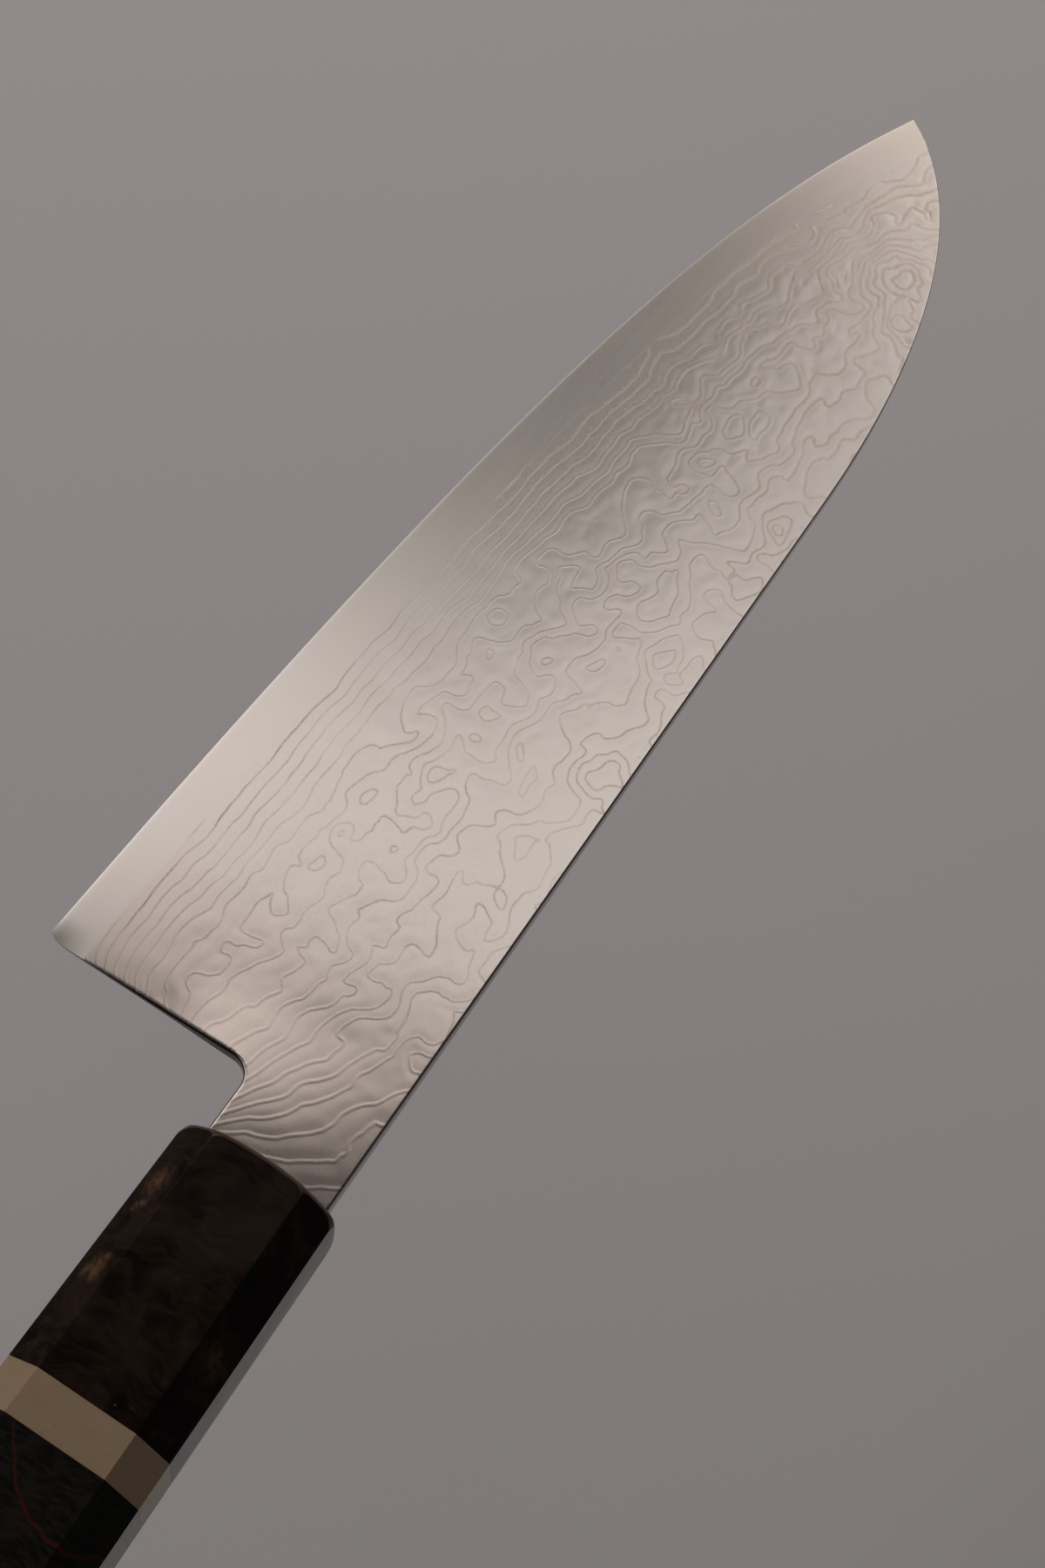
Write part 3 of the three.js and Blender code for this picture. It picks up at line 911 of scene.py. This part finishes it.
class Finish:
    """A procedural material, built up node by node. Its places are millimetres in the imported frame."""

    def __init__(self, name):
        self.material = bpy.data.materials.new(name)
        self.material.use_nodes = True
        self.tree = self.material.node_tree
        self.shader = self.tree.nodes["Principled BSDF"]
        place = self.add("TexCoord").outputs["Object"]
        self.place = self.add("VectorMath", {0: place, "Scale": 1 / MM}, operation="SCALE").outputs[0]

    def add(self, kind, inputs=None, **settings):
        node = self.tree.nodes.new("ShaderNode" + kind)
        for key, value in settings.items():
            setattr(node, key, value)
        for key, value in (inputs or {}).items():
            self.put(node.inputs[key], value)
        return node

    def put(self, socket, value):
        if isinstance(value, bpy.types.NodeSocket):
            self.tree.links.new(value, socket)
        else:
            socket.default_value = value

    def set(self, values):
        for key, value in values.items():
            self.put(self.shader.inputs[key], value)

    def math(self, operation, *values):
        return self.add("Math", dict(enumerate(values)), operation=operation).outputs[0]

    def times(self, a, b):
        return self.math("MULTIPLY", a, b)

    def remap(self, value, low, high, to_low, to_high):
        inputs = {"Value": value, "From Min": low, "From Max": high, "To Min": to_low, "To Max": to_high}
        return self.add("MapRange", inputs, interpolation_type="SMOOTHSTEP").outputs[0]

    def spread(self, noise, low, high):
        """Noise brought to another range."""
        return self.remap(noise, *NOISE_RANGE, low, high)

    def noise(self, size, detail=2.0, place=None, output="Fac"):
        """Noise with features of about one size, in millimetres."""
        inputs = {"Vector": place or self.place, "Scale": 1 / size, "Detail": detail}
        return self.add("TexNoise", inputs).outputs[output]

    def stretched(self, scale, place=None):
        return self.add("Mapping", {"Vector": place or self.place, "Scale": scale}).outputs[0]

    def swirled(self, size, reach):
        """Places pushed about by noise."""
        push = self.noise(size, output="Color")
        push = self.add("VectorMath", {0: push, 1: (0.5, 0.5, 0.5)}, operation="SUBTRACT").outputs[0]
        push = self.add("VectorMath", {0: push, "Scale": reach}, operation="SCALE").outputs[0]
        return self.add("VectorMath", {0: self.place, 1: push}).outputs[0]

    def axis(self, number):
        """One coordinate in the knife's millimetres."""
        along = self.add("SeparateXYZ", {0: self.place}).outputs[number]
        return self.math("SUBTRACT", along, KNIFE_ORIGIN[number] / MM)

    def near(self, point, reach, place=None):
        """1 at a point in the knife's millimetres, falling to 0 at reach."""
        ends = {0: place or self.place, 1: tuple(to_world(point) / MM)}
        away = self.add("VectorMath", ends, operation="DISTANCE").outputs["Value"]
        return self.remap(away, 0, reach, 1, 0)

    def facing(self, number):
        """How far the surface faces along one of the knife's axes, from -1 to 1."""
        normal = self.add("TexCoord").outputs["Normal"]
        return self.add("SeparateXYZ", {0: normal}).outputs[number]

    def facing_back(self):
        """1 where the surface faces back towards the handle."""
        return self.remap(self.facing(0), *BACK_FACING, 1, 0)

    def attribute(self, name):
        return self.add("Attribute", attribute_name=name).outputs["Fac"]

    def mix(self, share, a, b):
        """A colour between two colours."""
        node = self.add("Mix", {"Factor": share}, data_type="RGBA")
        ends = [socket for socket in node.inputs if socket.type == "RGBA"]
        for socket, colour in zip(ends, (a, b)):
            self.put(socket, (*colour, 1) if isinstance(colour, tuple) else colour)
        return next(socket for socket in node.outputs if socket.type == "RGBA")

    def bump(self, height, depth):
        """Fine relief of the given depth in millimetres."""
        inputs = {"Height": height, "Distance": depth * MM, "Strength": 1.0}
        return self.add("Bump", inputs).outputs["Normal"]


def core_finish():
    """Satin hard steel with fine lines along the blade, and a painted dark reflection on the choil."""
    finish = Finish("core_steel_satin")
    lines = finish.noise(size=0.5, detail=3, place=finish.stretched((0.03, 1, 1)))
    satin = finish.mix(finish.noise(size=9), *CORE_STEEL)
    finish.set({
        "Metallic": 1.0,
        # painted dark reflection on the core's choil, where it faces back
        "Base Color": finish.mix(finish.facing_back(), satin, PAINTED_DARK_REFLECTION),
        "Roughness": finish.spread(lines, 0.2, 0.21),
        "Normal": finish.bump(lines, depth=0.00005),
    })
    return finish.material


def figure_lines(finish):
    """The figure's lines on the face: their ridges, and their patchy and dotted colour."""
    layer = finish.attribute("layer")
    off = finish.math("ABSOLUTE", finish.math("SUBTRACT", layer, finish.math("ROUND", layer)))
    off = finish.math("DIVIDE", off, finish.attribute("line_reach"))
    on_face = finish.math("SUBTRACT", 1.0, finish.attribute("flank"))
    ridge = finish.times(finish.remap(off, 0, 1, 1, 0), on_face)
    patchy = finish.remap(finish.noise(size=7), 0.35, 0.65, 0.35, 1)
    dotted = finish.remap(finish.noise(size=0.5), 0.3, 0.6, 0.55, 1)
    line = finish.times(ridge, finish.times(patchy, dotted))
    return ridge, finish.times(line, finish.remap(finish.attribute("neck"), 0, 1, 1, 0.2))


def layered_colour(finish, line):
    """Ground with a painted warm reflection in the neck, lines, flanks with painted reflection, and a painted
    dark reflection on the choil and the neck's underside.
    """
    ground = finish.mix(finish.noise(size=5, detail=3), *FACE_STEEL)
    # painted warm reflection in the neck
    ground = finish.mix(finish.remap(finish.axis(0), *PAINTED_NECK_WARMTH_X, 1, 0), ground, PAINTED_NECK_WARMTH)
    lowest = finish.remap(finish.attribute("layer"), *LOWEST_LAYER, 0.6, 0)
    lowest = finish.times(lowest, finish.remap(finish.axis(0), *DARK_LINE_X, 1, 0))
    steel = finish.mix(line, ground, LINE_STEEL)
    steel = finish.mix(finish.times(line, lowest), steel, LOWEST_LINE_STEEL)
    # painted reflection on the flanks, darker towards the heel
    side = finish.mix(finish.remap(finish.axis(0), *NOSE_X, 0, 1), *PAINTED_FLANK_REFLECTION)
    steel = finish.mix(finish.attribute("flank"), steel, side)
    # painted dark reflection on surfaces facing the edge's side: the neck's underside
    steel = finish.mix(finish.remap(finish.facing(1), *TURNED, 0, 0.6), steel, PAINTED_DARK_REFLECTION)
    # painted dark reflection on surfaces facing back: the choil
    return finish.mix(finish.facing_back(), steel, PAINTED_DARK_REFLECTION)


def cladding_finish():
    """Etched layered steel: warm, dull lines stand a little above a brighter satin ground."""
    finish = Finish("layered_steel")
    ridge, line = figure_lines(finish)
    relief = finish.times(ridge, finish.attribute("line_height"))
    satin = finish.spread(finish.noise(size=0.25, detail=3), 0.19, 0.22)
    dull = finish.math("MULTIPLY_ADD", line, 0.08, satin)
    finish.set({
        "Metallic": 1.0,
        "Base Color": layered_colour(finish, line),
        "Roughness": finish.math("MULTIPLY_ADD", finish.attribute("flank"), 0.06, dull),
        "Normal": finish.bump(relief, depth=0.0045),
    })
    return finish.material


def burl_ground(finish, cloud, fibre, fleck):
    """Clouds, fibres and flecks, with painted shade on the spine's side, made patchy like the burl's dark
    blotches.
    """
    wood = finish.mix(finish.remap(cloud, 0.35, 0.65, 0, 1), *BURL)
    wood = finish.mix(finish.remap(fibre, 0.35, 0.75, 0, 0.6), wood, BURL_FIBRE)
    wood = finish.mix(finish.remap(fleck, 0.56, 0.75, 0, 0.45), wood, BURL_FLECK)
    # painted shade on the spine's side, patchy with the flecks
    dark = finish.remap(fleck, 0.4, 0.62, 0.75, 0.15)
    dark = finish.times(dark, finish.remap(finish.axis(1), *PAINTED_SHADE_Y, 1, 0))
    return finish.mix(dark, wood, BURL_PAINTED_SHADE)


def burl_finish():
    """Polished dark burl: curved fibres, tan patches, a pin knot with a painted highlight, and a redder rim
    at the front.
    """
    finish = Finish("dark_burl")
    swirl = finish.swirled(size=11, reach=13)
    ragged = finish.swirled(size=2.2, reach=4)
    cloud = finish.noise(size=8, place=swirl)
    fibre = finish.noise(size=0.9, detail=3, place=finish.stretched((1, 0.14, 0.5), place=swirl))
    fleck = finish.noise(size=3, detail=4, place=ragged)
    wood = burl_ground(finish, cloud, fibre, fleck)
    streaks = finish.remap(fleck, 0.3, 0.6, 0.2, 1)
    streaks = finish.times(streaks, finish.remap(fibre, 0.35, 0.6, 0.2, 1))
    for point, reach, strength in TAN_PATCHES:
        patch = finish.times(finish.near(point, reach, ragged), streaks)
        wood = finish.mix(finish.times(patch, strength), wood, BURL_TAN)
    wood = finish.mix(finish.near(PIN_KNOT, KNOT_REACH), wood, KNOT)
    # painted highlight in the knot
    wood = finish.mix(finish.near(PIN_KNOT, PAINTED_KNOT_HIGHLIGHT_REACH), wood, PAINTED_KNOT_HIGHLIGHT)
    rim = finish.remap(finish.facing(0), *FRONT_FACING, 0, 0.9)
    rim = finish.times(rim, finish.remap(finish.axis(0), *RIM_X, 1, 0.2))
    dull_end = finish.remap(finish.facing(0), *TURNED, 0, 0.3)
    finish.set({
        "Base Color": finish.mix(rim, wood, BURL_RIM),
        "Roughness": finish.math("ADD", finish.spread(cloud, *WOOD_POLISH), dull_end),
        "IOR": WOOD_IOR,
        "Normal": finish.bump(fibre, FIBRE_RELIEF),
    })
    return finish.material


def red_vein(finish):
    """1 in the middle of the bowed vein, falling to 0 beside it."""
    from_bow = finish.math("SUBTRACT", finish.axis(1), VEIN_BOW_Y)
    bow = finish.times(finish.times(from_bow, from_bow), VEIN_BOW)
    off = finish.math("SUBTRACT", finish.math("SUBTRACT", finish.axis(0), VEIN_X), bow)
    wander = finish.remap(finish.noise(size=4), 0.2, 0.8, -VEIN_WANDER, VEIN_WANDER)
    return finish.remap(finish.math("ABSOLUTE", finish.math("ADD", off, wander)), *VEIN_FADE, 0.9, 0)


def dark_wood_finish():
    """Polished near-black wood: fine fibres across it, brown clouds and a bowed red vein."""
    finish = Finish("dark_wood_veined")
    across = finish.stretched((1, 0.25, 0.5), place=finish.swirled(size=9, reach=4))
    fibre = finish.noise(size=0.5, detail=4, place=across)
    wood = finish.mix(finish.spread(fibre, 0, 1), *DARK_WOOD)
    wood = finish.mix(finish.remap(finish.noise(size=6), 0.5, 0.75, 0, 0.45), wood, DARK_WOOD_CLOUD)
    finish.set({
        "Base Color": finish.mix(red_vein(finish), wood, RED_VEIN),
        "Roughness": finish.spread(fibre, *WOOD_POLISH),
        "IOR": WOOD_IOR,
        "Normal": finish.bump(fibre, FIBRE_RELIEF),
    })
    return finish.material


def spacer_finish():
    """Polished cream resin with faint clouds."""
    finish = Finish("cream_resin")
    cloud = finish.noise(size=4, detail=3)
    streak = finish.noise(size=1.2, place=finish.stretched((1.5, 0.3, 0.3)))
    cream = finish.mix(cloud, *CREAM)
    finish.set({
        "Base Color": finish.mix(finish.remap(streak, 0.4, 0.7, 0, 0.25), cream, CREAM_STREAK),
        "Roughness": finish.spread(cloud, 0.2, 0.28),
        "IOR": 1.45,
        "Subsurface Weight": 0.15,
        "Subsurface Radius": CREAM_DEPTH,
        "Subsurface Scale": 1.0,
        "Normal": finish.bump(cloud, depth=0.002),
    })
    return finish.material


def dowel_finish():
    """Plain turned hardwood."""
    finish = Finish("turned_hardwood")
    grain = finish.noise(size=0.8, detail=4, place=finish.stretched((0.06, 1, 1)))
    finish.set({
        "Base Color": finish.mix(finish.spread(grain, 0, 1), *HARDWOOD),
        "Roughness": finish.spread(grain, 0.5, 0.7),
        "Normal": finish.bump(grain, depth=0.03),
    })
    return finish.material


def bedding_finish():
    """Set epoxy, dull and a little cloudy."""
    finish = Finish("set_epoxy")
    cloud = finish.noise(size=2, detail=3)
    finish.set({
        "Base Color": finish.mix(cloud, *EPOXY),
        "Roughness": finish.spread(cloud, 0.35, 0.5),
        "Normal": finish.bump(cloud, depth=0.02),
    })
    return finish.material


def floor_finish():
    """Plain pale paper."""
    finish = Finish("floor_paper")
    cloud = finish.noise(size=60)
    finish.set({
        "Base Color": finish.mix(cloud, *FLOOR_PAPER),
        "Roughness": finish.spread(cloud, 0.8, 0.9),
        "Specular IOR Level": 0.2,
    })
    return finish.material


# Stage


def floor():
    """A plain floor below the knife."""
    reach = FLOOR_REACH * MM
    level = packed_box[0].z - FLOOR_DROP * MM
    mesh = bpy.data.meshes.new("floor")
    corners = [(-reach, -reach, level), (reach, -reach, level), (reach, reach, level), (-reach, reach, level)]
    mesh.from_pydata(corners, [], [(0, 1, 2, 3)])
    ground = add_object("floor", mesh)
    cover(ground, floor_finish())


def panel(name, centre, size, radiance, colour=LIGHT_COLOUR, aim=None):
    """A soft light panel in the knife's millimetres, facing down or towards aim."""
    light = bpy.data.lights.new(name, "AREA")
    light.shape = "RECTANGLE"
    light.size = size[0] * MM
    light.size_y = size[1] * MM
    light.energy = radiance * math.pi * light.size * light.size_y
    light.color = colour
    lamp = add_object(name, light)
    lamp.location = to_world(centre)
    if aim is not None:
        lamp.rotation_euler = (Vector(aim) - Vector(centre)).to_track_quat("-Z", "Y").to_euler()
    lamp.visible_camera = False


def lights():
    """Panels over the blade, which it mirrors, fills from the edge's side and from behind, and a dim room."""
    for name, (from_x, to_x, from_y, to_y, radiance, colour) in PANELS.items():
        centre = ((from_x + to_x) / 2, (from_y + to_y) / 2, PANEL_HEIGHT)
        panel(name, centre, (to_x - from_x, to_y - from_y), radiance, colour)
    for name, (centre, size, radiance, aim) in FILLS.items():
        panel(name, centre, size, radiance, aim=aim)
    world = bpy.data.worlds.new("room")
    world.use_nodes = True
    background = world.node_tree.nodes["Background"]
    background.inputs["Color"].default_value = (*ROOM_LIGHT, 1)
    background.inputs["Strength"].default_value = 1.0
    bpy.context.scene.world = world


def camera():
    """The photograph's viewpoint."""
    lens = bpy.data.cameras.new("camera")
    lens.lens = CAMERA_LENS
    lens.sensor_width = CAMERA_SENSOR
    lens.clip_start = CAMERA_NEAR * MM
    viewer = add_object("camera", lens)
    viewer.location = to_world(CAMERA_PLACE)
    viewer.rotation_euler = [math.radians(turn) for turn in CAMERA_TURN]
    bpy.context.scene.camera = viewer


# Assembly


def dress(piece, node, material):
    """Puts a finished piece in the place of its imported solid."""
    shade(piece)
    cover(piece, material)
    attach(piece, "root")
    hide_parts(node)


layered = cladding_finish()
dress(core("blade_core"), "core_steel", core_finish())
dress(cladding("blade_left", 1, LEFT_SEED), "cladding_left", layered)
dress(cladding("blade_right", -1, RIGHT_SEED), "cladding_right", layered)
dress(front_block("handle_front"), "front_block", burl_finish())
dress(spacer("handle_spacer"), "spacer_ring", spacer_finish())
dress(rear_block("handle_rear"), "rear_block", dark_wood_finish())
cover(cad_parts["tang_dowel"], dowel_finish())
cover(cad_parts["tang_bedding"], bedding_finish())

floor()
lights()
camera()
bpy.context.scene.view_settings.view_transform = "Standard"
